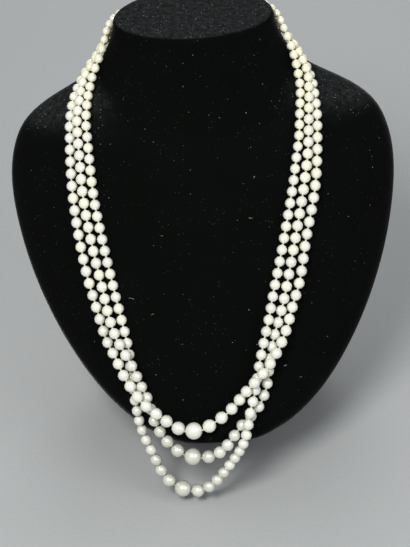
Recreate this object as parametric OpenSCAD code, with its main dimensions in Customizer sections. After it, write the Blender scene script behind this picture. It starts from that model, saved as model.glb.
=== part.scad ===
// Three graduated strands of pearls on a plain velvet neck bust, in millimetres.
// +Z is up and the chest faces -Y. The origin is on the table, under the middle of the whole piece.

/* [Neck bust] */
// Width across the shoulders
bust_w = 193; // [180:1:215]
// Depth from the flat back to the chest's lower edge
bust_d = 148; // [138:1:165]
// Height from the table to the flat top of the neck
bust_h = 213; // [200:1:235]
// Lean of the chest away from upright, in degrees
chest_lean = 32; // [28:1:35]
// Width of the neck
neck_w = 78; // [70:1:86]
// Depth of the neck
neck_d = 60; // [54:1:66]

/* [Pearls] */
// Diameter of the pearls beside the clasp
nape_pearl_d = 4.2; // [3.8:0.1:4.6]
// Diameter of the pearls on the chest, in the short strand
short_pearl_d = 5.4; // [4.9:0.05:5.6]
// Diameter of the pearls on the chest, in the middle strand
middle_pearl_d = 5.35; // [4.9:0.05:5.6]
// Diameter of the pearls on the chest, in the long strand
long_pearl_d = 5.15; // [4.8:0.05:5.4]
// Diameter of the pearls next to a centre pearl
inner_pearl_d = 7; // [6.2:0.1:7.2]
// Diameter of the centre pearl of each strand
centre_pearl_d = 8.3; // [7.2:0.1:8.6]
// Length over which the large pearls step down from the centre
step_down = 17; // [10:1:24]
// Room between two pearls, where the thread is knotted
knot_gap = 0.5; // [0.4:0.02:0.7]
// Room along the thread on each side of a centre pearl, where the strand bends
centre_gap = 1.1; // [1:0.05:1.5]
// Diameter of the hole drilled through a pearl
bore_d = 1.2; // [1.1:0.05:1.4]
// Diameter of the thread
thread_d = 0.5; // [0.4:0.05:0.6]
// Clearance between a pearl and the velvet under it
seat_gap = 0.3; // [0.2:0.05:0.4]

/* [Clasp] */
// Width of the clasp along the strands
clasp_w = 9; // [8:0.5:12]
// Height of the clasp across the three strands
clasp_h = 15; // [14:0.5:17]
// Thickness of the clasp
clasp_t = 4.6; // [4.4:0.1:5.2]
// Gap between the clasp and the ends of the strands
clasp_gap = 0.6; // [0.5:0.05:0.8]
// Length of the plain stretch on each side of the clasp
nape_run = 58; // [50:1:64]

/* [Hidden] */

// Sections of the bust from the chest's lower edge to the neck's flat top. Each is a leaning plane.
// Columns: front point ahead of the flat back and widest line behind the front point, as shares of
// the depth; height of the front point, as a share of the height; lean, as a share of the chest's;
// half width, as a share; inset of the back, as a share of the depth; roundness of the front half
// and of the back half; and how far the section follows the neck's sizes and not the shoulders'.
FRONT = 0;
REACH = 1;
HIGH = 2;
LEAN = 3;
WIDE = 4;
INSET = 5;
ROUND_FRONT = 6;
ROUND_BACK = 7;
NECK = 8;
SECTIONS = [
    [0.980, 0.110, 0.182, 1.00, 0.166, 0.00, 2.2, 3.0, 0.00],
    [0.996, 0.150, 0.195, 1.00, 0.223, 0.00, 2.2, 3.0, 0.00],
    [0.998, 0.182, 0.210, 1.00, 0.285, 0.00, 2.2, 3.0, 0.00],
    [0.988, 0.210, 0.230, 1.00, 0.373, 0.00, 2.2, 3.0, 0.00],
    [0.967, 0.230, 0.263, 1.00, 0.472, 0.00, 2.2, 3.0, 0.00],
    [0.931, 0.257, 0.311, 1.00, 0.585, 0.00, 2.2, 3.0, 0.00],
    [0.876, 0.277, 0.381, 1.00, 0.705, 0.00, 2.2, 3.0, 0.00],
    [0.804, 0.297, 0.466, 1.00, 0.819, 0.00, 2.2, 3.0, 0.00],
    [0.711, 0.311, 0.564, 1.00, 0.917, 0.00, 2.2, 3.0, 0.00],
    [0.613, 0.324, 0.660, 1.00, 0.979, 0.00, 2.2, 3.0, 0.00],
    [0.530, 0.324, 0.735, 0.97, 1.000, 0.00, 2.2, 3.0, 0.00],
    [0.475, 0.311, 0.783, 0.81, 0.974, 0.00, 2.2, 2.8, 0.00],
    [0.470, 0.309, 0.815, 0.62, 0.964, 0.00, 2.1, 2.6, 0.10],
    [0.534, 0.333, 0.840, 0.44, 0.975, 0.00, 2.0, 2.4, 0.35],
    [0.643, 0.368, 0.864, 0.28, 0.944, 0.00, 2.0, 2.2, 0.60],
    [0.779, 0.412, 0.892, 0.16, 0.970, 0.00, 2.0, 2.1, 0.80],
    [0.934, 0.466, 0.930, 0.06, 1.032, 0.00, 2.0, 2.0, 0.95],
    [0.990, 0.500, 0.970, 0.00, 1.021, 0.00, 2.0, 2.0, 1.00],
    [0.990, 0.500, 0.992, 0.00, 1.005, 0.00, 2.0, 2.0, 1.00],
    [0.970, 0.480, 1.000, 0.00, 0.959, 0.02, 2.0, 2.0, 1.00],
];
TOP = len(SECTIONS) - 1;
// Loft rings for each step between two sections, and points around a ring
RINGS_PER_STEP = 2;
RING_POINTS = 56;

// Routes of the three strands, from the centre pearl outward to the nape, as points chosen by hand.
// Columns of a lying point: angle round the section, with -90 at the front middle, 0 at the right
// side and -180 at the left side; section that it lies on; and how many pearls it lies over.
// The columns of a hanging point, below the chest's edge, are shares of the half width, of the
// depth and of the edge's height.
SHORT_CENTRE = [-106.7, 2.93, 0.12];
SHORT_LEFT = [[-117.4, 3.33, 0.04], [-121.2, 3.91, 0.2], [-121.9, 4.4, 0.92], [-124.5, 4.79, 1.15],
    [-126.1, 5.15, 0.99], [-127.4, 5.45, 0.99], [-127.5, 5.75, 1.03], [-128, 6.1, 0.85],
    [-129.8, 6.35, 0.47], [-130.5, 6.6, 0.23], [-130.2, 7.1, 0], [-129.8, 7.7, 0.01],
    [-129.2, 8.5, 0], [-128.7, 9.3, 0], [-128.6, 10.31, 0], [-130.3, 11.23, 0], [-134.1, 11.98, 0],
    [-140.2, 12.69, 0.01], [-147.3, 13.21, 0], [-156.2, 13.66, 0], [-170.9, 14.3, 0.01],
    [-184.2, 15.01, 0.11], [-196.1, 15.71, 0.1], [-206.4, 16.1, 0.35], [-216.9, 16.17, 0.37],
    [-229.9, 16.09, 0.06], [-246, 16.02, 0]];
SHORT_RIGHT = [[-95.7, 3.25, 0], [-88.7, 3.74, 0.04], [-83.7, 4.15, 0], [-80.7, 4.59, 0.41],
    [-78.4, 4.95, 1.25], [-75.4, 5.25, 1.49], [-71.9, 5.51, 1.32], [-69.5, 5.75, 0.94],
    [-67.4, 6, 0.89], [-65.9, 6.31, 0.63], [-64.5, 6.55, 0.35], [-63.7, 6.91, 0.02], [-62, 7.41, 0],
    [-61.2, 8.21, 0], [-59, 9.11, 0.02], [-57.9, 9.91, 0], [-56.4, 10.82, 0], [-53, 11.72, 0.03],
    [-48.1, 12.45, 0], [-40.5, 13.12, 0], [-30.3, 13.69, 0], [-17.8, 14.34, 0], [-2.7, 15.04, 0],
    [12.2, 15.61, 0], [25.8, 16.03, 0.26], [37.9, 16.11, 0.09], [50, 16.08, 0], [66, 16.03, 0]];
MIDDLE_CENTRE = [-0.145, 0.019, 0.742];
MIDDLE_HANG_LEFT = [[-0.215, 0.032, 0.818], [-0.265, 0.04, 0.94], [-0.302, 0.044, 1.095]];
MIDDLE_HANG_RIGHT = [[-0.061, 0.004, 0.784], [0.006, -0.011, 0.897], [0.05, -0.02, 1.06]];
MIDDLE_LEFT = [[-130.2, 3.95, 0], [-125.4, 4.55, 0], [-124, 5, 0.11], [-123.1, 5.4, 0.43],
    [-122, 5.7, 0.77], [-122.2, 6, 1.02], [-123.1, 6.3, 1.03], [-124.3, 6.55, 0.88],
    [-124.9, 6.8, 0.63], [-125.3, 7.1, 0.28], [-124.9, 7.6, 0], [-124.7, 8.4, 0.06],
    [-124.8, 9.31, 0.09], [-124.9, 10.33, 0.17], [-126.6, 11.2, 0.32], [-130.3, 11.98, 0.4],
    [-136.8, 12.79, 0.33], [-145, 13.41, 0.41], [-153.5, 13.86, 0.49], [-167.3, 14.57, 0.32],
    [-179.1, 15.3, 0.06], [-190.4, 16.03, 0], [-202.1, 16.47, 0], [-215.3, 16.57, 0],
    [-229, 16.51, 0.02], [-245.3, 16.43, 0.02]];
MIDDLE_RIGHT = [[-75, 3.46, 0], [-69.8, 3.97, 0.04], [-67.9, 4.94, 0], [-69.3, 5.63, 0.01],
    [-69, 6.3, 0], [-67.3, 7, 0], [-65.5, 8.01, 0.08], [-63.1, 9.11, 0.22], [-61.3, 10.01, 0.3],
    [-59.7, 10.87, 0.31], [-56.6, 11.7, 0.36], [-51, 12.53, 0.55], [-41.7, 13.32, 0.63],
    [-30.9, 13.94, 0.72], [-20.3, 14.63, 0.54], [-6.6, 15.36, 0.18], [7.6, 15.96, 0],
    [22.2, 16.42, 0], [36.2, 16.53, 0], [49, 16.49, 0], [65.3, 16.43, 0]];
LONG_CENTRE = [-0.21, 0.052, 0.196];
LONG_HANG_LEFT = [[-0.27, 0.064, 0.295], [-0.311, 0.072, 0.429], [-0.33, 0.076, 0.58],
    [-0.369, 0.084, 0.845], [-0.389, 0.088, 0.975]];
LONG_HANG_RIGHT = [[-0.132, 0.036, 0.197], [-0.068, 0.024, 0.299], [-0.022, 0.014, 0.434],
    [0.048, 0, 0.694], [0.102, -0.025, 0.964]];
LONG_LEFT = [[-146.1, 3.8, 0], [-137.4, 4.39, 0.02], [-132.9, 4.85, 0.01], [-128.9, 5.3, 0],
    [-126.7, 5.65, 0.02], [-124.1, 5.95, 0.01], [-122.3, 6.3, 0.01], [-121, 7, 0],
    [-120.5, 8, 0.01], [-121.1, 9.21, 0.07], [-121.6, 10.32, 0.07], [-123.4, 11.18, 0.05],
    [-126.8, 11.96, 0.21], [-133.3, 12.85, 0.3], [-142.7, 13.56, 0.25], [-150.8, 14.06, 0.22],
    [-162.9, 14.85, 0.18], [-172.6, 15.59, 0], [-182.2, 16.41, 0], [-197.8, 16.9, 0.09],
    [-213.7, 17.09, 0.03], [-228.3, 16.97, 0], [-245, 16.88, 0]];
LONG_RIGHT = [[-71.9, 2.31, 0.71], [-74.2, 3.2, 1.1], [-75, 3.9, 1.07], [-74.7, 4.44, 0.93],
    [-73.9, 4.85, 0.57], [-73.9, 5.2, 0.35], [-73.9, 5.55, 0.34], [-73.7, 5.85, 0.43],
    [-73.3, 6.15, 0.47], [-72.9, 6.4, 0.46], [-72.2, 6.71, 0.37], [-71.2, 7.2, 0.03], [-69.3, 8, 0],
    [-66.4, 9.16, 0], [-64.6, 10.01, 0], [-62.4, 10.9, 0], [-59.7, 11.68, 0.02],
    [-53.5, 12.61, 0.08], [-42.6, 13.54, 0.16], [-32.5, 14.19, 0.21], [-23.4, 14.93, 0.33],
    [-10.1, 15.65, 0.08], [2, 16.39, 0], [18, 16.9, 0.05], [34.2, 17.04, 0.06], [48.1, 16.96, 0.06],
    [64.9, 16.88, 0.06]];

// Sections on which the strands reach the clasp, from the short strand to the long one
CLASP_SECTIONS = [16, 16.42, 16.86];

// Fine steps between two points of a route
CURVE_STEPS = 8;
// Sides of a thread and of a plain nape stretch
THREAD_SIDES = 8;
NAPE_SIDES = 10;

// Value between two sizes
function mix(a, b, t) = a + (b - a) * t;

// Sine or cosine drawn out into a rounder or squarer section
function squared(value, roundness) = sign(value) * pow(abs(value), 2 / roundness);

// Smooth curve through b and c, with a before and d after
function bend(a, b, c, d, t) = (b * 2 + (c - a) * t + (a * 2 - b * 5 + c * 4 - d) * pow(t, 2)
    + (b * 3 - a - c * 3 + d) * pow(t, 3)) / 2;

// Place at a fractional index of a list, on a smooth curve through its entries
function along(list, at) = let (
    last = len(list) - 1,
    i = max(0, min(floor(at), last - 1)),
    before = i > 0 ? list[i - 1] : list[0] * 2 - list[1],
    after = i < last - 1 ? list[i + 2] : list[last] * 2 - list[last - 1]
) bend(before, list[i], list[i + 1], after, at - i);

// Point of the bust's skin at an angle round a section
function skin(angle, section) = let (
    s = along(SECTIONS, section),
    depth = mix(bust_d, neck_d, s[NECK]),
    half_w = s[WIDE] * mix(bust_w, neck_w, s[NECK]) / 2,
    lean = s[LEAN] * chest_lean,
    front_y = bust_d - s[FRONT] * depth,
    front_z = s[HIGH] * bust_h,
    reach = s[REACH] * depth,
    whole = (bust_d - s[INSET] * depth - front_y) / cos(lean),
    behind = sin(angle) > 0,
    run = behind ? whole - reach : reach,
    roundness = behind ? s[ROUND_BACK] : s[ROUND_FRONT],
    out = reach + run * squared(sin(angle), roundness)
) [half_w * squared(cos(angle), roundness), front_y + out * cos(lean), front_z - out * sin(lean)];

// Direction straight out of the skin
function outward(angle, section) = let (
    turn = 0.2,
    step = 0.01,
    round = skin(angle + turn, section) - skin(angle - turn, section),
    up = skin(angle, section + step) - skin(angle, section - step),
    n = cross(round, up)
) n / norm(n);

edge_z = SECTIONS[1][HIGH] * bust_h;

CHEST_PEARLS = [short_pearl_d, middle_pearl_d, long_pearl_d];
// The chest's size of pearl runs out to the first share of a half strand, the nape's begins at the second
TAPER = [0.53, 0.9];

// Diameter of a pearl of strand k by its distance from the centre pearl
function pearl_d(k, far, total) = let (
    t = max(0, min((far / total - TAPER[0]) / (TAPER[1] - TAPER[0]), 1))
) mix(CHEST_PEARLS[k], nape_pearl_d, t) + (inner_pearl_d - CHEST_PEARLS[k]) * exp(-far / step_down);

function hanging(points) = [for (p = points)
    [p[0] * bust_w / 2, p[1] * bust_d, p[2] * edge_z]];
function reversed(list) = [for (i = [len(list) - 1 : -1 : 0]) list[i]];

// Running lengths of a list of points
function running(points) = [for (i = 0, sum = 0; i < len(points);
    i = i + 1, sum = sum + (i < len(points) ? norm(points[i] - points[i - 1]) : 0)) sum];

// Place where strand k ends, just short of the clasp
function clasp_place(k, side) = let (
    neck_side = skin(0, CLASP_SECTIONS[k]).x + nape_pearl_d / 2,
    angle = acos((clasp_w / 2 + clasp_gap) / neck_side)
) [side < 0 ? -180 - angle : angle, CLASP_SECTIONS[k], 0];

// Half a strand's points from the centre outward, without the centre: first the hanging ones, then
// three on the velvet for each hand-picked one, lifted so that a pearl of that place just clears it
LIE_STEPS = 3;
function half_route(k, side, centre, hang, lie) = let (
    hung = hanging(hang),
    held = concat(lie, [clasp_place(k, side)]),
    places = [for (i = [0 : (len(held) - 1) * LIE_STEPS]) along(held, i / LIE_STEPS)],
    base = [for (p = places) skin(p[0], p[1])],
    lengths = running(concat([centre], hung, base)),
    total = lengths[len(lengths) - 1]
) concat(hung, [for (i = [0 : len(places) - 1]) let (
    p = places[i],
    d = pearl_d(k, lengths[len(hung) + 1 + i], total)
) base[i] + outward(p[0], p[1]) * (d / 2 + seat_gap + p[2] * d)]);

// A strand's whole route is its left half reversed, its centre and its right half
function lying_centre(point) = skin(point[0], point[1])
    + outward(point[0], point[1]) * (centre_pearl_d / 2 + seat_gap + point[2] * centre_pearl_d);
CENTRES = [lying_centre(SHORT_CENTRE), hanging([MIDDLE_CENTRE])[0], hanging([LONG_CENTRE])[0]];
LEFT_HALVES = [
    half_route(0, -1, CENTRES[0], [], SHORT_LEFT),
    half_route(1, -1, CENTRES[1], MIDDLE_HANG_LEFT, MIDDLE_LEFT),
    half_route(2, -1, CENTRES[2], LONG_HANG_LEFT, LONG_LEFT),
];
RIGHT_HALVES = [
    half_route(0, 1, CENTRES[0], [], SHORT_RIGHT),
    half_route(1, 1, CENTRES[1], MIDDLE_HANG_RIGHT, MIDDLE_RIGHT),
    half_route(2, 1, CENTRES[2], LONG_HANG_RIGHT, LONG_RIGHT),
];
ROUTES = [for (k = [0 : 2]) concat(reversed(LEFT_HALVES[k]), [CENTRES[k]], RIGHT_HALVES[k])];
CENTRE_AT = [for (k = [0 : 2]) len(LEFT_HALVES[k])];

// Fine points of a half strand, from the centre outward
function half_curve(k, side) = let (
    middle = CENTRE_AT[k],
    last = side < 0 ? middle : len(ROUTES[k]) - 1 - middle
) [for (i = [0 : last * CURVE_STEPS]) along(ROUTES[k], middle + side * i / CURVE_STEPS)];

// Point at a distance along a curve
function at_length(curve, lengths, far) = let (
    i = max(0, min(search_below(lengths, far, 0, len(lengths) - 1), len(curve) - 2)),
    t = (far - lengths[i]) / (lengths[i + 1] - lengths[i])
) mix(curve[i], curve[i + 1], t);
function search_below(list, value, low, high) = high - low < 2 ? low
    : let (middle = floor((low + high) / 2))
    list[middle] > value ? search_below(list, value, low, middle)
    : search_below(list, value, middle, high);

SIDES = [-1, 1];
CURVES = [for (k = [0 : 2]) [for (side = SIDES) half_curve(k, side)]];
LENGTHS = [for (k = [0 : 2]) [for (j = [0, 1]) running(CURVES[k][j])]];

// Starts of the pearls of a half strand, the knot gap closed up so that the last meets the clasp
function starts(k, total) = [for (far = centre_pearl_d / 2 + centre_gap;
    far + pearl_d(k, far, total) < total;
    far = far + pearl_d(k, far, total) + knot_gap) far];
function stretched(k, list, total) = let (
    first = list[0],
    last = list[len(list) - 1],
    ratio = (total - pearl_d(k, last, total) - first) / (last - first)
) [for (far = list) first + (far - first) * ratio];

// Every pearl of a half strand as [knot before, knot after, diameter, distance]. A pearl sits midway
// between its knots, so that the thread runs straight through it
function half_pearls(k, j) = let (
    curve = CURVES[k][j],
    lengths = LENGTHS[k][j],
    total = lengths[len(lengths) - 1],
    list = stretched(k, starts(k, total), total)
) [for (i = [0 : len(list) - 1]) let (
    d = pearl_d(k, list[i], total),
    before = i > 0 ? (list[i] + list[i - 1] + pearl_d(k, list[i - 1], total)) / 2
        : list[i] - centre_gap / 2,
    after = i < len(list) - 1 ? (list[i] + d + list[i + 1]) / 2 : total
) [at_length(curve, lengths, before), at_length(curve, lengths, after), d, list[i] + d / 2]];
BEFORE = 0;
AFTER = 1;
SIZE = 2;
AT = 3;
ALL_PEARLS = [for (k = [0 : 2]) [for (j = [0, 1]) half_pearls(k, j)]];
function shown(k, j) = let (
    lengths = LENGTHS[k][j],
    total = lengths[len(lengths) - 1]
) [for (p = ALL_PEARLS[k][j]) if (p[AT] < total - nape_run) p];
function pearl_middle(p) = (p[BEFORE] + p[AFTER]) / 2;

// The clasp stands clear of the back of the neck, behind everything else
clasp_y = skin(90, CLASP_SECTIONS[1]).y + seat_gap + clasp_t / 2;

// Depth middle of the whole piece, which the origin stands under
front_y = min([for (k = [0 : 2]) for (j = [0, 1]) for (p = shown(k, j))
    pearl_middle(p).y - p[SIZE] / 2]);
back_y = clasp_y + clasp_t / 2;
middle_y = (front_y + back_y) / 2;

// Closed solid over rings of points, with flat ends
module rings(list) {
    n = len(list[0]);
    last = len(list) - 1;
    points = [for (ring = list) for (p = ring) p];
    sides = [for (i = [0 : last - 1]) for (j = [0 : n - 1]) let (
        a = i * n + j,
        b = i * n + (j + 1) % n
    ) each [[a, a + n, b], [b, a + n, b + n]]];
    ends = [[for (j = [0 : n - 1]) j], [for (j = [n - 1 : -1 : 0]) last * n + j]];
    polyhedron(points, concat(ends, sides), convexity = 8);
}

// Round tube through points, each ring turned to face out from the middle of the bust
module tube(points, d, count) {
    n = len(points);
    ways = [for (i = [0 : n - 1]) let (
        v = points[min(i + 1, n - 1)] - points[max(i - 1, 0)]
    ) v / norm(v)];
    rings([for (i = [0 : n - 1]) let (
        across = cross(ways[i], [points[i].x, points[i].y - bust_d / 2, 0]),
        u = across / norm(across),
        v = cross(u, ways[i])
    ) [for (j = [0 : count - 1]) let (angle = 360 * j / count)
        points[i] + (u * cos(angle) - v * sin(angle)) * d / 2]]);
}

// Turns a piece made along Z to lie along a direction
module aim(way) {
    rotate([0, acos(way.z / norm(way)), atan2(way.y, way.x)]) children();
}

// One pearl, drilled through along its thread
module pearl(p) {
    translate(pearl_middle(p)) aim(p[AFTER] - p[BEFORE]) difference() {
        sphere(d = p[SIZE], $fn = 48);
        cylinder(h = p[SIZE] + 2, d = bore_d, center = true, $fn = 24);
    }
}

module placed() {
    translate([0, -middle_y, 0]) children();
}

// The leaning sections run on below the table, where the bust is cut off flat
module neck_bust() {
    color("#17181b") placed() difference() {
        rings([for (i = [0 : TOP * RINGS_PER_STEP])
            [for (j = [0 : RING_POINTS - 1]) skin(360 * j / RING_POINTS, i / RINGS_PER_STEP)]]);
        translate([-bust_w, -bust_d / 2, -bust_h]) cube([bust_w * 2, bust_d * 2, bust_h]);
    }
}

module strand_pearls(k) {
    color("#f3efe2") placed() for (j = [0, 1]) for (p = shown(k, j)) pearl(p);
}

module centre_pearl(k) {
    left = ALL_PEARLS[k][0][0][BEFORE];
    right = ALL_PEARLS[k][1][0][BEFORE];
    color("#efeee9") placed() pearl([left, right, centre_pearl_d]);
}

// Plain stretch for the finest pearls, from the last pearl shown to the clasp, on both sides
module strand_nape(k) {
    color("#efe9d6") placed() for (j = [0, 1]) {
        curve = CURVES[k][j];
        lengths = LENGTHS[k][j];
        total = lengths[len(lengths) - 1];
        pearls = shown(k, j);
        last = pearls[len(pearls) - 1];
        from = last[AT] + last[SIZE] / 2 + knot_gap;
        count = 12;
        tube([for (i = [0 : count]) at_length(curve, lengths, mix(from, total, i / count))],
            nape_pearl_d, NAPE_SIDES);
    }
}

// Thread with a point at each knot, so that it runs straight through every pearl
module strand_thread(k) {
    left = shown(k, 0);
    right = shown(k, 1);
    color("#f6f3ea") placed() tube(concat(
        [left[len(left) - 1][AFTER]],
        [for (i = [len(left) - 1 : -1 : 0]) left[i][BEFORE]],
        [for (p = right) p[BEFORE]],
        [right[len(right) - 1][AFTER]]
    ), thread_d, THREAD_SIDES);
}

// Flat clasp with round ends, standing at the nape behind the neck, bored for the three threads
module clasp() {
    ends = [for (k = [0 : 2]) ROUTES[k][len(ROUTES[k]) - 1]];
    middle = [0, clasp_y, ends[1].z];
    color("#c9b27c") placed() translate(middle) difference() {
        union() {
            cube([clasp_w, clasp_t, clasp_h - clasp_w], center = true);
            for (s = SIDES) translate([0, 0, s * (clasp_h - clasp_w) / 2])
                rotate([90, 0, 0]) cylinder(h = clasp_t, d = clasp_w, center = true, $fn = 48);
        }
        for (e = ends) translate([0, e.y - middle.y, e.z - middle.z])
            rotate([0, 90, 0]) cylinder(h = clasp_w + 2, d = bore_d, center = true, $fn = 24);
    }
}

neck_bust();
strand_pearls(0);  // short_strand_pearls
strand_pearls(1);  // middle_strand_pearls
strand_pearls(2);  // long_strand_pearls
centre_pearl(0);  // short_centre_pearl
centre_pearl(1);  // middle_centre_pearl
centre_pearl(2);  // long_centre_pearl
strand_nape(0);  // short_strand_nape
strand_nape(1);  // middle_strand_nape
strand_nape(2);  // long_strand_nape
strand_thread(0);  // short_strand_thread
strand_thread(1);  // middle_strand_thread
strand_thread(2);  // long_strand_thread
clasp();
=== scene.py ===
"""Three graduated strands of knotted pearls on a plain black velvet neck bust."""

import math
import random

import bmesh
import bpy
import numpy as np
from mathutils import Matrix, Vector


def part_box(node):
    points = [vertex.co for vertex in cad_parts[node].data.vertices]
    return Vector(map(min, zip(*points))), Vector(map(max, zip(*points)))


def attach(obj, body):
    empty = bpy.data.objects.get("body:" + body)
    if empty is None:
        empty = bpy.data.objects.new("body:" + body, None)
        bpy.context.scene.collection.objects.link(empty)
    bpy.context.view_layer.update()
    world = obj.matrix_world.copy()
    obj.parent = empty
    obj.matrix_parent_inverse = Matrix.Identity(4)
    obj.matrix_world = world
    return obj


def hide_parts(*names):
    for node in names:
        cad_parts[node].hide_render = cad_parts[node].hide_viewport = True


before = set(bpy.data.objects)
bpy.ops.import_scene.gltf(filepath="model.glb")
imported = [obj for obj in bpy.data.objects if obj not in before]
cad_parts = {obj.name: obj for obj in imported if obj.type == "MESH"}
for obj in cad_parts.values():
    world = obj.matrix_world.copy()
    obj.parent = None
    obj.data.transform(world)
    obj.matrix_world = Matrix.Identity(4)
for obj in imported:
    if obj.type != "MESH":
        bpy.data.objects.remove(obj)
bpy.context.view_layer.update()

MM = 0.001
WELD = 0.002 * MM
STRANDS = ("short", "middle", "long")


# Small helpers

def srgb(code):
    """A hex colour as the linear red, green, blue and alpha that shaders take."""
    parts = [int(code[i:i + 2], 16) / 255 for i in (1, 3, 5)]
    linear = [p / 12.92 if p <= 0.04045 else ((p + 0.055) / 1.055) ** 2.4 for p in parts]
    return tuple(linear) + (1.0,)


def add(tree, kind, inputs=None, **settings):
    """Adds a node with its settings. Each input is a value or the socket that feeds it."""
    node = tree.nodes.new(kind)
    for name, value in settings.items():
        setattr(node, name, value)
    for name, value in (inputs or {}).items():
        if isinstance(value, bpy.types.NodeSocket):
            tree.links.new(value, node.inputs[name])
        else:
            node.inputs[name].default_value = value
    return node


def link_in(obj):
    bpy.context.scene.collection.objects.link(obj)
    return obj


def piece(name, mesh, material, slot, *stands_for):
    """A finished piece on the frame's one body, with the given material; the slot is not used."""
    obj = link_in(bpy.data.objects.new(name, mesh))
    obj.data.materials.clear()
    obj.data.materials.append(material)
    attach(obj, "root")
    if stands_for:
        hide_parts(*stands_for)
    return obj


def merged(node):
    """A copy of a CAD node's mesh with its loose triangles joined."""
    form = bmesh.new()
    form.from_mesh(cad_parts[node].data)
    bmesh.ops.remove_doubles(form, verts=form.verts, dist=WELD)
    return form


# Camera at the photograph's angle. The image is taken as 410 x 547 pixels.

IMAGE_TALL = 547
FOCAL_PIXELS = 2000
SENSOR = 36.0
FOCAL = FOCAL_PIXELS / IMAGE_TALL * SENSOR
LOOK_AT = Vector((-2.3, -31.3, 111.6)) * MM
DISTANCE = 960 * MM
DOWN = math.radians(32)
ROLL = 0.0646


def make_camera():
    back = Vector((0, -math.cos(DOWN), math.sin(DOWN)))
    level = Vector((1, 0, 0))
    rise = back.cross(level)
    right = level * math.cos(ROLL) - rise * math.sin(ROLL)
    up = level * math.sin(ROLL) + rise * math.cos(ROLL)
    data = bpy.data.cameras.new("camera")
    data.sensor_width = SENSOR
    data.lens = FOCAL
    camera = link_in(bpy.data.objects.new("camera", data))
    turn = Matrix((right, up, back)).transposed()
    camera.matrix_world = Matrix.Translation(LOOK_AT + back * DISTANCE) @ turn.to_4x4()
    bpy.context.scene.camera = camera


make_camera()


# Finishes

def new_material(name):
    material = bpy.data.materials.new(name)
    material.use_nodes = True
    tree = material.node_tree
    tree.nodes.clear()
    out = tree.nodes.new("ShaderNodeOutputMaterial")
    shader = tree.nodes.new("ShaderNodeBsdfPrincipled")
    tree.links.new(shader.outputs["BSDF"], out.inputs["Surface"])
    where = tree.nodes.new("ShaderNodeTexCoord").outputs["Object"]
    return material, tree, shader, where


def noise(tree, vector, size, detail):
    """Noise whose blotches are about this size across."""
    return add(tree, "ShaderNodeTexNoise", {
        "Vector": vector, "Scale": 1 / size, "Detail": detail})


def bumped(tree, shader, height, strength, distance):
    """Lets a noise raise and lower the shader's surface."""
    bump = add(tree, "ShaderNodeBump", {
        "Height": height.outputs["Fac"], "Strength": strength, "Distance": distance})
    tree.links.new(bump.outputs["Normal"], shader.inputs["Normal"])


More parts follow.
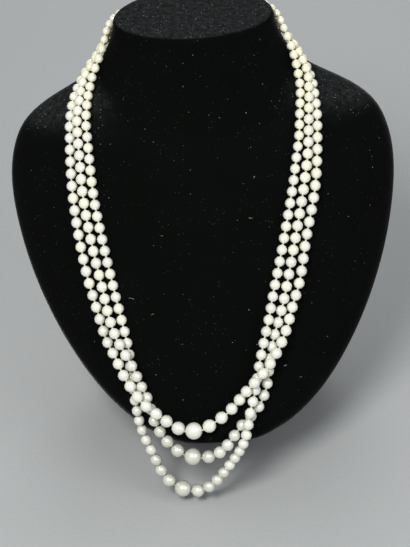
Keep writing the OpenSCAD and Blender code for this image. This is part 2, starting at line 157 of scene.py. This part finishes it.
def velvet():
    """Black cotton velvet: a short dense pile that swallows light, silvery only at grazing
    angles. Dust and lint cling to it, sparse on the chest and thick where it faces up, where
    a grey film of painted light from above joins the dust."""
    material, tree, shader, where = new_material("black_cotton_velvet")
    facing = add(tree, "ShaderNodeNewGeometry").outputs["Normal"]
    level = add(tree, "ShaderNodeSeparateXYZ", {"Vector": facing}).outputs["Z"]
    faces_up = add(tree, "ShaderNodeMapRange", {
        "Value": level, "From Min": 0.6, "From Max": 0.86},
        interpolation_type="SMOOTHSTEP").outputs["Result"]
    nap = noise(tree, where, 28 * MM, 3.0)
    pile_shade = add(tree, "ShaderNodeMix", {
        0: nap.outputs["Fac"], 6: srgb("#030403"), 7: srgb("#070908")}, data_type="RGBA").outputs[2]
    drift = add(tree, "ShaderNodeTexNoise", {
        "Vector": where, "Scale": 1 / (3 * MM), "Detail": 5.0, "Roughness": 0.7})
    uneven = add(tree, "ShaderNodeMapRange", {
        "Value": drift.outputs["Fac"], "From Min": 0.3, "From Max": 0.7}).outputs["Result"]
    # Painted light: a grey film lightens the velvet where it faces up, standing for light from
    # above together with settled dust
    top_light_and_dust = add(tree, "ShaderNodeMath", {0: faces_up, 1: uneven}, operation="MULTIPLY")
    colour = add(tree, "ShaderNodeMix", {
        0: top_light_and_dust.outputs["Value"], 6: pile_shade, 7: srgb("#272a2b")}, data_type="RGBA").outputs[2]

    def flecked(under, vector, cell, thin, thick, share, pale):
        """Flecks over a colour, one near the middle of each cell that is kept. Their reach is
        a share of the cell, and each has its own size and paleness."""
        lint = add(tree, "ShaderNodeTexVoronoi", {"Vector": vector, "Scale": 1 / (cell * MM)})
        kind = add(tree, "ShaderNodeSeparateColor", {"Color": lint.outputs["Color"]})
        reach = add(tree, "ShaderNodeMapRange", {
            "Value": kind.outputs["Red"], "To Min": thin, "To Max": thick})
        near = add(tree, "ShaderNodeMath", {
            0: reach.outputs["Result"], 1: lint.outputs["Distance"]}, operation="GREATER_THAN")
        kept = add(tree, "ShaderNodeMath", {
            0: share, 1: kind.outputs["Blue"]}, operation="GREATER_THAN")
        shown = add(tree, "ShaderNodeMath", {
            0: near.outputs["Value"], 1: kept.outputs["Value"]}, operation="MULTIPLY")
        paleness = add(tree, "ShaderNodeMath", {
            0: shown.outputs["Value"], 1: kind.outputs["Green"]}, operation="MULTIPLY")
        return add(tree, "ShaderNodeMix", {
            0: paleness.outputs["Value"], 6: under, 7: srgb(pale)}, data_type="RGBA").outputs[2]

    # Dust 0.2 to 0.4 mm across gathered in drifts, paler fluff here and there, and what
    # has settled on top
    patches = noise(tree, where, 14 * MM, 2.0)
    gathered = add(tree, "ShaderNodeMapRange", {
        "Value": patches.outputs["Fac"], "From Min": 0.4, "From Max": 0.65,
        "To Min": 0.15}).outputs["Result"]
    colour = flecked(colour, where, 1.5, 0.06, 0.14, gathered, "#434644")
    colour = flecked(colour, where, 6.0, 0.02, 0.045, 0.5, "#868884")
    colour = flecked(colour, where, 1.4, 0.1, 0.26, faces_up, "#626567")
    # Loose fibres, about 2 mm long and 0.25 mm wide, bent by a slow warp of the place
    warp = noise(tree, where, 2.5 * MM, 0.0)
    bent = add(tree, "ShaderNodeVectorMath", {
        0: warp.outputs["Color"], 1: (2 * MM, 2 * MM, 2 * MM), 2: where}, operation="MULTIPLY_ADD")
    for heading in (20, 80, 140):
        laid = add(tree, "ShaderNodeMapping", {
            "Vector": bent.outputs["Vector"], "Rotation": (0.0, 0.0, math.radians(heading)),
            "Scale": (0.12, 1.0, 1.0)})
        colour = flecked(colour, laid.outputs["Vector"], 2.0, 0.04, 0.07, 0.12, "#8b8e8c")
    tree.links.new(colour, shader.inputs["Base Color"])
    # Pile tufts, drawn 0.6 mm apart, coarser than the real 0.2 mm, so that they show
    tufts = noise(tree, where, 0.6 * MM, 2.0)
    bumped(tree, shader, tufts, 0.5, 0.3 * MM)
    shader.inputs["Roughness"].default_value = 0.95
    shader.inputs["Specular IOR Level"].default_value = 0.04
    shader.inputs["Sheen Weight"].default_value = 0.3
    shader.inputs["Sheen Roughness"].default_value = 0.15
    shader.inputs["Sheen Tint"].default_value = srgb("#c9cfcc")
    return material


def nacre():
    """Cultured pearl nacre: creamy white with a soft lustre, a clear glint under a thin glossy
    skin, a darker rim and a body painted darker, as shade, on the cooler pearls, and slight growth
    unevenness."""
    material, tree, shader, where = new_material("cultured_pearl_nacre")
    tone = add(tree, "ShaderNodeAttribute", attribute_name="tone")
    # Painted shade: the low end of this ramp is darker as well as cooler, for the hung pearls
    body = add(tree, "ShaderNodeValToRGB", {"Fac": tone.outputs["Fac"]})
    stops = body.color_ramp.elements
    stops[0].position = 0.0
    stops[0].color = srgb("#cfd0c3")
    stops[1].position = 1.0
    stops[1].color = srgb("#efebc9")
    middle = stops.new(0.5)
    middle.color = srgb("#dfdfd4")
    cloud = noise(tree, where, 3 * MM, 3.0)
    shade = add(tree, "ShaderNodeMapRange", {
        "Value": cloud.outputs["Fac"], "To Min": 0.93, "To Max": 1.04})
    colour = add(tree, "ShaderNodeMix", {
        0: 1.0, 6: body.outputs["Color"], 7: shade.outputs["Result"]},
        data_type="RGBA", blend_type="MULTIPLY")
    tree.links.new(colour.outputs[2], shader.inputs["Base Color"])
    skin = noise(tree, where, 1.1 * MM, 2.0)
    bumped(tree, shader, skin, 0.12, 0.15 * MM)
    shader.inputs["Roughness"].default_value = 0.32
    # Nacre's layers mirror a little light, which the body then lacks: this darkens the rim
    lustre = add(tree, "ShaderNodeMapRange", {
        "Value": tone.outputs["Fac"], "From Min": 0.1, "From Max": 0.45,
        "To Min": 0.26, "To Max": 0.05})
    tree.links.new(lustre.outputs["Result"], shader.inputs["Metallic"])
    shader.inputs["IOR"].default_value = 1.6
    shader.inputs["Coat Weight"].default_value = 1.0
    shader.inputs["Coat Roughness"].default_value = 0.22
    shader.inputs["Coat IOR"].default_value = 1.6
    return material


def silk():
    """White silk beading thread: twisted filament, matt with a faint gleam, ribbed by its ply."""
    material, tree, shader, where = new_material("white_silk_thread")
    ply = noise(tree, where, 0.25 * MM, 1.0)
    colour = add(tree, "ShaderNodeMix", {
        0: ply.outputs["Fac"], 6: srgb("#c8c6b8"), 7: srgb("#e6e4d8")}, data_type="RGBA")
    tree.links.new(colour.outputs[2], shader.inputs["Base Color"])
    bumped(tree, shader, ply, 0.5, 0.1 * MM)
    shader.inputs["Roughness"].default_value = 0.65
    shader.inputs["Sheen Weight"].default_value = 0.2
    return material


def gold_plate():
    """Gold-plated brass, satin-brushed across the clasp: warm metal with fine streaks."""
    material, tree, shader, where = new_material("satin_gold_plated_brass")
    along = add(tree, "ShaderNodeMapping", {"Vector": where, "Scale": (60.0, 60.0, 1500.0)})
    streak = add(tree, "ShaderNodeTexNoise", {
        "Vector": along.outputs["Vector"], "Scale": 1.0, "Detail": 3.0})
    colour = add(tree, "ShaderNodeMix", {
        0: streak.outputs["Fac"], 6: srgb("#b98f45"), 7: srgb("#e2c078")}, data_type="RGBA")
    tree.links.new(colour.outputs[2], shader.inputs["Base Color"])
    rough = add(tree, "ShaderNodeMapRange", {
        "Value": streak.outputs["Fac"], "To Min": 0.22, "To Max": 0.42})
    tree.links.new(rough.outputs["Result"], shader.inputs["Roughness"])
    shader.inputs["Metallic"].default_value = 1.0
    return material


VELVET = velvet()
NACRE = nacre()
SILK = silk()
GOLD = gold_plate()


# Bust: the CAD loft, smoothed, with its flat base kept crisp

JOINED_BEND = math.radians(25)
JOINED_SKEW = math.radians(60)
CREASE_BEND = math.radians(38)


def make_bust():
    form = merged("neck_bust")
    bmesh.ops.join_triangles(
        form, faces=form.faces, angle_face_threshold=JOINED_BEND,
        angle_shape_threshold=JOINED_SKEW)
    crease = form.edges.layers.float.new("crease_edge")
    for edge in form.edges:
        if len(edge.link_faces) == 2 and edge.calc_face_angle() > CREASE_BEND:
            edge[crease] = 1.0
    mesh = bpy.data.meshes.new("bust_velvet")
    form.to_mesh(mesh)
    form.free()
    mesh.shade_smooth()
    bust = piece("bust_velvet", mesh, VELVET, "velvet", "neck_bust")
    smooth = bust.modifiers.new("smooth", "SUBSURF")
    smooth.levels = smooth.render_levels = 2


make_bust()


# Strings: knots are read from the thread, and a pearl sits midway between two of them

RING_REACH = 1.0 * MM
NAPE_SIDES = 10
CHUNKS = 40


def ring_middles(node, reach):
    """Middles of a thread's rings of points, in order from one end to the other."""
    form = merged(node)
    groups = []
    for vert in form.verts:
        home = next((g for g in groups if (g[0] - vert.co).length < reach), None)
        if home is None:
            groups.append([vert.co.copy()])
        else:
            home.append(vert.co.copy())
    form.free()
    middles = [sum(g, Vector()) / len(g) for g in groups]
    start = max((m for m in middles if m.x < 0), key=lambda m: m.y)
    path = [start]
    left = [m for m in middles if m is not start]
    while left:
        nearest = min(left, key=lambda m: (m - path[-1]).length)
        left.remove(nearest)
        path.append(nearest)
    return path


def pearl_sizes(middles, node):
    """Diameter of the CAD pearl round each of these middles, from a node of many pearls."""
    reach = np.zeros(len(middles))
    spots = np.array([tuple(m) for m in middles])
    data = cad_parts[node].data
    points = np.zeros(len(data.vertices) * 3, np.float32)
    data.vertices.foreach_get("co", points)
    for chunk in np.array_split(points.reshape(-1, 3), CHUNKS):
        away = np.linalg.norm(chunk[:, None] - spots[None], axis=2)
        np.maximum.at(reach, away.argmin(axis=1), away.min(axis=1))
    return reach * 2


def nape_lines(node, ends):
    """Middle line of each of a node's two tubes, from the pearls to the clasp."""
    form = merged(node)
    lines = []
    for end in ends:
        ring = sorted(form.verts, key=lambda v: (v.co - end).length)[:NAPE_SIDES]
        seen = set(ring)
        line = []
        while ring:
            line.append(sum((v.co for v in ring), Vector()) / len(ring))
            ring = [v for v in {e.other_vert(r) for r in ring for e in r.link_edges}
                    if v not in seen]
            seen.update(ring)
        lines.append(line)
    form.free()
    return lines


def spaced(line, at):
    """Point and direction at a distance along a line of points."""
    for a, b in zip(line, line[1:]):
        step = (b - a).length
        if at <= step or b is line[-1]:
            return a + (b - a) * (at / step), (b - a).normalized()
        at -= step


# Bead and knot forms, one unit across, their threads along Z

SHARP_BEND = math.radians(60)


def turned(name, profile, sides):
    """Closed form turned from a profile of (radius, height) pairs, back round to its start."""
    form = bmesh.new()
    rings = [[form.verts.new((r * math.cos(a), r * math.sin(a), z))
              for a in (math.tau * i / sides for i in range(sides))] for r, z in profile]
    for lower, upper in zip(rings, rings[1:] + rings[:1]):
        for i in range(sides):
            j = (i + 1) % sides
            form.faces.new((lower[i], lower[j], upper[j], upper[i]))
    bmesh.ops.recalc_face_normals(form, faces=form.faces)
    mesh = bpy.data.meshes.new(name)
    form.to_mesh(mesh)
    mesh.shade_smooth()
    sharp = [e.calc_face_angle() > SHARP_BEND for e in form.edges]
    mesh.attributes.new("sharp_edge", "BOOLEAN", "EDGE").data.foreach_set("value", sharp)
    form.free()
    return bpy.data.objects.new(name, mesh)


def bead_profile(bands, mouth, sides):
    """Half round from the bottom mouth of the bore to the top one, which the bore joins.
    The corners of its sides lie as far outside the real round as their middles lie inside."""
    half = 0.5 / math.sqrt(math.cos(math.pi / sides))
    first = math.asin(mouth / half)
    arc = [first + (math.pi - 2 * first) * i / bands for i in range(bands + 1)]
    return [(half * math.sin(a), -half * math.cos(a)) for a in arc]


BORE = 0.085
CENTRE_BORE = BORE * 0.7
BEAD_BANDS, BEAD_SIDES = 5, 12
CENTRE_BANDS, CENTRE_SIDES = 14, 28
KNOT_SIDES = 8
KNOT_PROFILE = [
    (0.22, -0.48), (0.46, -0.2), (0.5, 0.05), (0.4, 0.3), (0.2, 0.48), (0.1, 0.3), (0.1, -0.3)]
bead_form = turned("bead_form", bead_profile(BEAD_BANDS, BORE, BEAD_SIDES), BEAD_SIDES)
centre_form = turned(
    "centre_form", bead_profile(CENTRE_BANDS, CENTRE_BORE, CENTRE_SIDES), CENTRE_SIDES)
knot_form = turned("knot_form", KNOT_PROFILE, KNOT_SIDES)


# Stringing: points that carry size, direction and tone, with its painted shade, become beads

def stringing_tree():
    tree = bpy.data.node_groups.new("stringing", "GeometryNodeTree")
    face = tree.interface
    face.new_socket("Geometry", in_out="INPUT", socket_type="NodeSocketGeometry")
    face.new_socket("Bead", in_out="INPUT", socket_type="NodeSocketObject")
    face.new_socket("Finish", in_out="INPUT", socket_type="NodeSocketMaterial")
    face.new_socket("Thinnest", in_out="INPUT", socket_type="NodeSocketFloat")
    face.new_socket("Seed", in_out="INPUT", socket_type="NodeSocketInt")
    face.new_socket("Geometry", in_out="OUTPUT", socket_type="NodeSocketGeometry")
    given = tree.nodes.new("NodeGroupInput").outputs

    def stored(name, kind):
        read = add(tree, "GeometryNodeInputNamedAttribute", {"Name": name}, data_type=kind)
        return read.outputs[0]

    bead = add(tree, "GeometryNodeObjectInfo", {"Object": given["Bead"]}).outputs["Geometry"]
    lie = add(tree, "FunctionNodeAlignRotationToVector", {
        "Vector": stored("thread_way", "FLOAT_VECTOR")}, axis="Z").outputs["Rotation"]
    spin = add(tree, "FunctionNodeRandomValue", {2: 0.0, 3: math.tau, "Seed": given["Seed"]},
               data_type="FLOAT").outputs[1]
    about = add(tree, "ShaderNodeCombineXYZ", {"Z": spin}).outputs[0]
    turn = add(tree, "FunctionNodeEulerToRotation", {0: about}).outputs[0]
    both = add(tree, "FunctionNodeRotateRotation", {0: lie, 1: turn},
               rotation_space="LOCAL").outputs[0]
    # No pearl is quite round: each is a little thinner one way than another
    low = add(tree, "ShaderNodeCombineXYZ", {
        "X": given["Thinnest"], "Y": given["Thinnest"], "Z": given["Thinnest"]}).outputs[0]
    round_off = add(tree, "FunctionNodeRandomValue", {
        0: low, 1: (1.0, 1.0, 1.0), "Seed": given["Seed"]}, data_type="FLOAT_VECTOR").outputs[0]
    size = add(tree, "ShaderNodeVectorMath", {
        0: round_off, 1: stored("size", "FLOAT_VECTOR")}, operation="MULTIPLY").outputs[0]
    placed = add(tree, "GeometryNodeInstanceOnPoints", {
        "Points": given["Geometry"], "Instance": bead, "Rotation": both, "Scale": size})
    real = add(tree, "GeometryNodeRealizeInstances", {"Geometry": placed.outputs["Instances"]})
    done = add(tree, "GeometryNodeSetMaterial", {
        "Geometry": real.outputs["Geometry"], "Material": given["Finish"]})
    add(tree, "NodeGroupOutput", {"Geometry": done.outputs["Geometry"]})
    return tree


STRINGING = stringing_tree()


def strung(name, beads, form, finish, thinnest, seed):
    """Mesh of beads on points: each bead is (middle, thread way, size, tone with painted shade)."""
    points = bpy.data.meshes.new(name)
    points.from_pydata([b[0] for b in beads], [], [])
    for label, kind, key, values in (
            ("thread_way", "FLOAT_VECTOR", "vector", [b[1] for b in beads]),
            ("size", "FLOAT_VECTOR", "vector", [b[2] for b in beads]),
            ("tone", "FLOAT", "value", [b[3] for b in beads])):
        layer = points.attributes.new(label, kind, "POINT")
        flat = [c for v in values for c in v] if key == "vector" else values
        layer.data.foreach_set(key, flat)
    holder = link_in(bpy.data.objects.new(name + "_points", points))
    modifier = holder.modifiers.new("stringing", "NODES")
    modifier.node_group = STRINGING
    wanted = {"Bead": form, "Finish": finish, "Thinnest": thinnest, "Seed": seed}
    for item in STRINGING.interface.items_tree:
        if item.in_out == "INPUT" and item.name in wanted:
            modifier[item.identifier] = wanted[item.name]
    seen = holder.evaluated_get(bpy.context.evaluated_depsgraph_get())
    mesh = bpy.data.meshes.new_from_object(seen)
    holder.modifiers.clear()
    bpy.data.objects.remove(holder)
    mesh.name = name
    return mesh


ASIDE = Vector((0.1, 0.2, 1))


def thread_mesh(name, line, width, sides=8):
    """Closed round thread along a line of points, none of which may run the way of ASIDE."""
    form = bmesh.new()
    rings = []
    for i, point in enumerate(line):
        way = (line[min(i + 1, len(line) - 1)] - line[max(i - 1, 0)]).normalized()
        side = way.cross(ASIDE).normalized()
        rise = way.cross(side)
        rings.append([form.verts.new(point + (side * math.cos(a) + rise * math.sin(a)) * width / 2)
                      for a in (math.tau * j / sides for j in range(sides))])
    for lower, upper in zip(rings, rings[1:]):
        for i in range(sides):
            j = (i + 1) % sides
            form.faces.new((lower[i], lower[j], upper[j], upper[i]))
    form.faces.new(rings[0])
    form.faces.new(reversed(rings[-1]))
    bmesh.ops.recalc_face_normals(form, faces=form.faces)
    mesh = bpy.data.meshes.new(name)
    form.to_mesh(mesh)
    form.free()
    return mesh


KNOT_LONG = 0.5 * MM
KNOT_WIDE = 1.0 * MM
NAPE_COUNT = 12
NAPE_PEARL = 4.2 * MM
THREAD = 0.5 * MM
CLASP_REACH = 1.0 * MM

# Places along the nape, in steps from one pearl to the next
NAPE_PEARL_AT = 0.46
NAPE_KNOT_AT = -0.04

# How thin a bead's thinnest way may be, as a share of its size
BEAD_THINNEST = 0.985
NAPE_THINNEST = 0.97
KNOT_THINNEST = 0.9

# Tones run from 0, the coolest and darkest pearl, to 1, the creamiest. The darker body of the hung
# pearls is painted shade
HUNG_SHADED_TONE = 0.2
MIDDLE_TONE = 0.5
NECK_TONE = 0.4
NAPE_TONE = 0.8
HUNG_SHARE = 0.3
TONE_SPREAD = 0.15
NAPE_TONE_SPREAD = 0.1

FIRST_SEED = 3
NAPE_SEED = 10
KNOT_SEED = 20
rng = random.Random(7)


def even(size):
    return (size, size, size)


def make_strand(kind, seed):
    thread = kind + "_strand_thread"
    knots = ring_middles(thread, RING_REACH)
    middles = [(a + b) / 2 for a, b in zip(knots, knots[1:])]
    ways = [(b - a).normalized() for a, b in zip(knots, knots[1:])]
    low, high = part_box(kind + "_centre_pearl")
    centre_at = min(range(len(middles)), key=lambda i: (middles[i] - (low + high) / 2).length)
    others = [m for i, m in enumerate(middles) if i != centre_at]
    sizes = list(pearl_sizes(others, kind + "_strand_pearls"))
    sizes.insert(centre_at, max(high - low))

    def tone(i):
        """Cool and painted darker, as shade, where the longer strands hang free, creamier toward
        the neck, each its own.
        """
        share = abs(i - centre_at) / (len(middles) / 2)
        darkest_tone = MIDDLE_TONE if kind == "short" else HUNG_SHADED_TONE
        rise = min(share / HUNG_SHARE, 1)
        usual = darkest_tone + (MIDDLE_TONE - darkest_tone) * rise + NECK_TONE * share ** 4
        return min(max(usual + rng.uniform(-TONE_SPREAD, TONE_SPREAD), 0), 1)

    beads = [(middles[i], ways[i], even(sizes[i]), tone(i)) for i in range(len(middles))]
    centre = beads.pop(centre_at)
    mesh = strung(kind + "_beads", beads, bead_form, NACRE, BEAD_THINNEST, seed)
    piece(kind + "_beads", mesh, NACRE, "pearl", kind + "_strand_pearls")
    mesh = strung(kind + "_centre_bead", [centre], centre_form, NACRE, BEAD_THINNEST, seed)
    piece(kind + "_centre_bead", mesh, NACRE, "pearl", kind + "_centre_pearl")

    # Nape: the finest pearls, evenly spaced between the last pearls shown and the clasp
    nape, nape_knots = [], []
    lines = nape_lines(kind + "_strand_nape", (knots[0], knots[-1]))
    for line in lines:
        length = sum((b - a).length for a, b in zip(line, line[1:]))
        pitch = length / NAPE_COUNT
        for i in range(NAPE_COUNT):
            middle, way = spaced(line, pitch * (i + NAPE_PEARL_AT))
            shade = NAPE_TONE + rng.uniform(-NAPE_TONE_SPREAD, NAPE_TONE_SPREAD)
            nape.append((middle, way, even(NAPE_PEARL), shade))
            if i:
                spot, way = spaced(line, pitch * (i + NAPE_KNOT_AT))
                nape_knots.append((spot, way))
    mesh = strung(kind + "_nape_beads", nape, bead_form, NACRE, NAPE_THINNEST, seed + NAPE_SEED)
    piece(kind + "_nape_beads", mesh, NACRE, "pearl", kind + "_strand_nape")

    # Silk: a knot on each side of every pearl
    turns = [ways[max(i - 1, 0)] + ways[min(i, len(ways) - 1)] for i in range(len(knots))]
    ties = [(k, t.normalized()) for k, t in zip(knots, turns)] + nape_knots
    knotted = [(spot, way, (KNOT_WIDE, KNOT_WIDE, KNOT_LONG), 0.5) for spot, way in ties]
    mesh = strung(kind + "_knots", knotted, knot_form, SILK, KNOT_THINNEST, seed + KNOT_SEED)
    piece(kind + "_knots", mesh, SILK, "silk")
    for side, line in zip(("left", "right"), lines):
        into_clasp = line[-1] + (line[-1] - line[-2]).normalized() * CLASP_REACH
        run = [knots[0] if side == "left" else knots[-1]] + line + [into_clasp]
        name = f"{kind}_{side}_nape_silk"
        piece(name, thread_mesh(name, run, THREAD), SILK, "silk")
    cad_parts[thread].data.materials.clear()
    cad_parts[thread].data.materials.append(SILK)


for number, strand in enumerate(STRANDS):
    make_strand(strand, FIRST_SEED + number)


# Clasp: the plain plate with its edges eased

FLAT_BEND = math.radians(2)
CLASP_EASE = 0.5 * MM


def make_clasp():
    form = merged("clasp")
    bmesh.ops.dissolve_limit(form, angle_limit=FLAT_BEND, verts=form.verts, edges=form.edges)
    mesh = bpy.data.meshes.new("clasp_plate")
    form.to_mesh(mesh)
    form.free()
    clasp = piece("clasp_plate", mesh, GOLD, "clasp_metal", "clasp")
    ease = clasp.modifiers.new("ease", "BEVEL")
    ease.width = CLASP_EASE
    ease.segments = 3
    ease.limit_method = "ANGLE"
    ease.angle_limit = math.radians(50)
    mesh.shade_smooth()


make_clasp()


# Plain pale floor and soft studio light

FLOOR_HALF = 4.0


def make_floor():
    material, tree, shader, where = new_material("matt_grey_paper")
    fleck = noise(tree, where, 2 * MM, 3.0)
    colour = add(tree, "ShaderNodeMix", {
        0: fleck.outputs["Fac"], 6: srgb("#a1a4a5"), 7: srgb("#abaeaf")}, data_type="RGBA")
    tree.links.new(colour.outputs[2], shader.inputs["Base Color"])
    shader.inputs["Roughness"].default_value = 0.9
    mesh = bpy.data.meshes.new("floor")
    corners = [(x * FLOOR_HALF, y * FLOOR_HALF, 0) for x, y in ((-1, -1), (1, -1), (1, 1), (-1, 1))]
    mesh.from_pydata(corners, [], [(0, 1, 2, 3)])
    mesh.materials.append(material)
    link_in(bpy.data.objects.new("floor", mesh))


def soft_light(name, place, aim, size, watts, colour):
    data = bpy.data.lights.new(name, "AREA")
    data.shape = "DISK"
    data.size = size
    data.energy = watts
    data.color = srgb(colour)[:3]
    lamp = link_in(bpy.data.objects.new(name, data))
    lamp.location = place
    lamp.rotation_euler = (Vector(aim) - Vector(place)).to_track_quat("-Z", "Y").to_euler()


make_floor()
MIDDLE = (0, -0.02, 0.1)
soft_light("key", (-0.28, -0.85, 0.95), MIDDLE, 0.4, 13.5, "#fffefa")
soft_light("fill", (0.8, -0.9, 0.8), MIDDLE, 0.9, 5, "#fbfcff")
soft_light("rear", (0.1, 1.1, 0.9), MIDDLE, 0.8, 5, "#ffffff")
world = bpy.data.worlds.new("studio")
world.use_nodes = True
world.node_tree.nodes["Background"].inputs["Color"].default_value = srgb("#e4e5e6")
world.node_tree.nodes["Background"].inputs["Strength"].default_value = 0.5
bpy.context.scene.world = world
bpy.context.scene.view_settings.view_transform = "Standard"
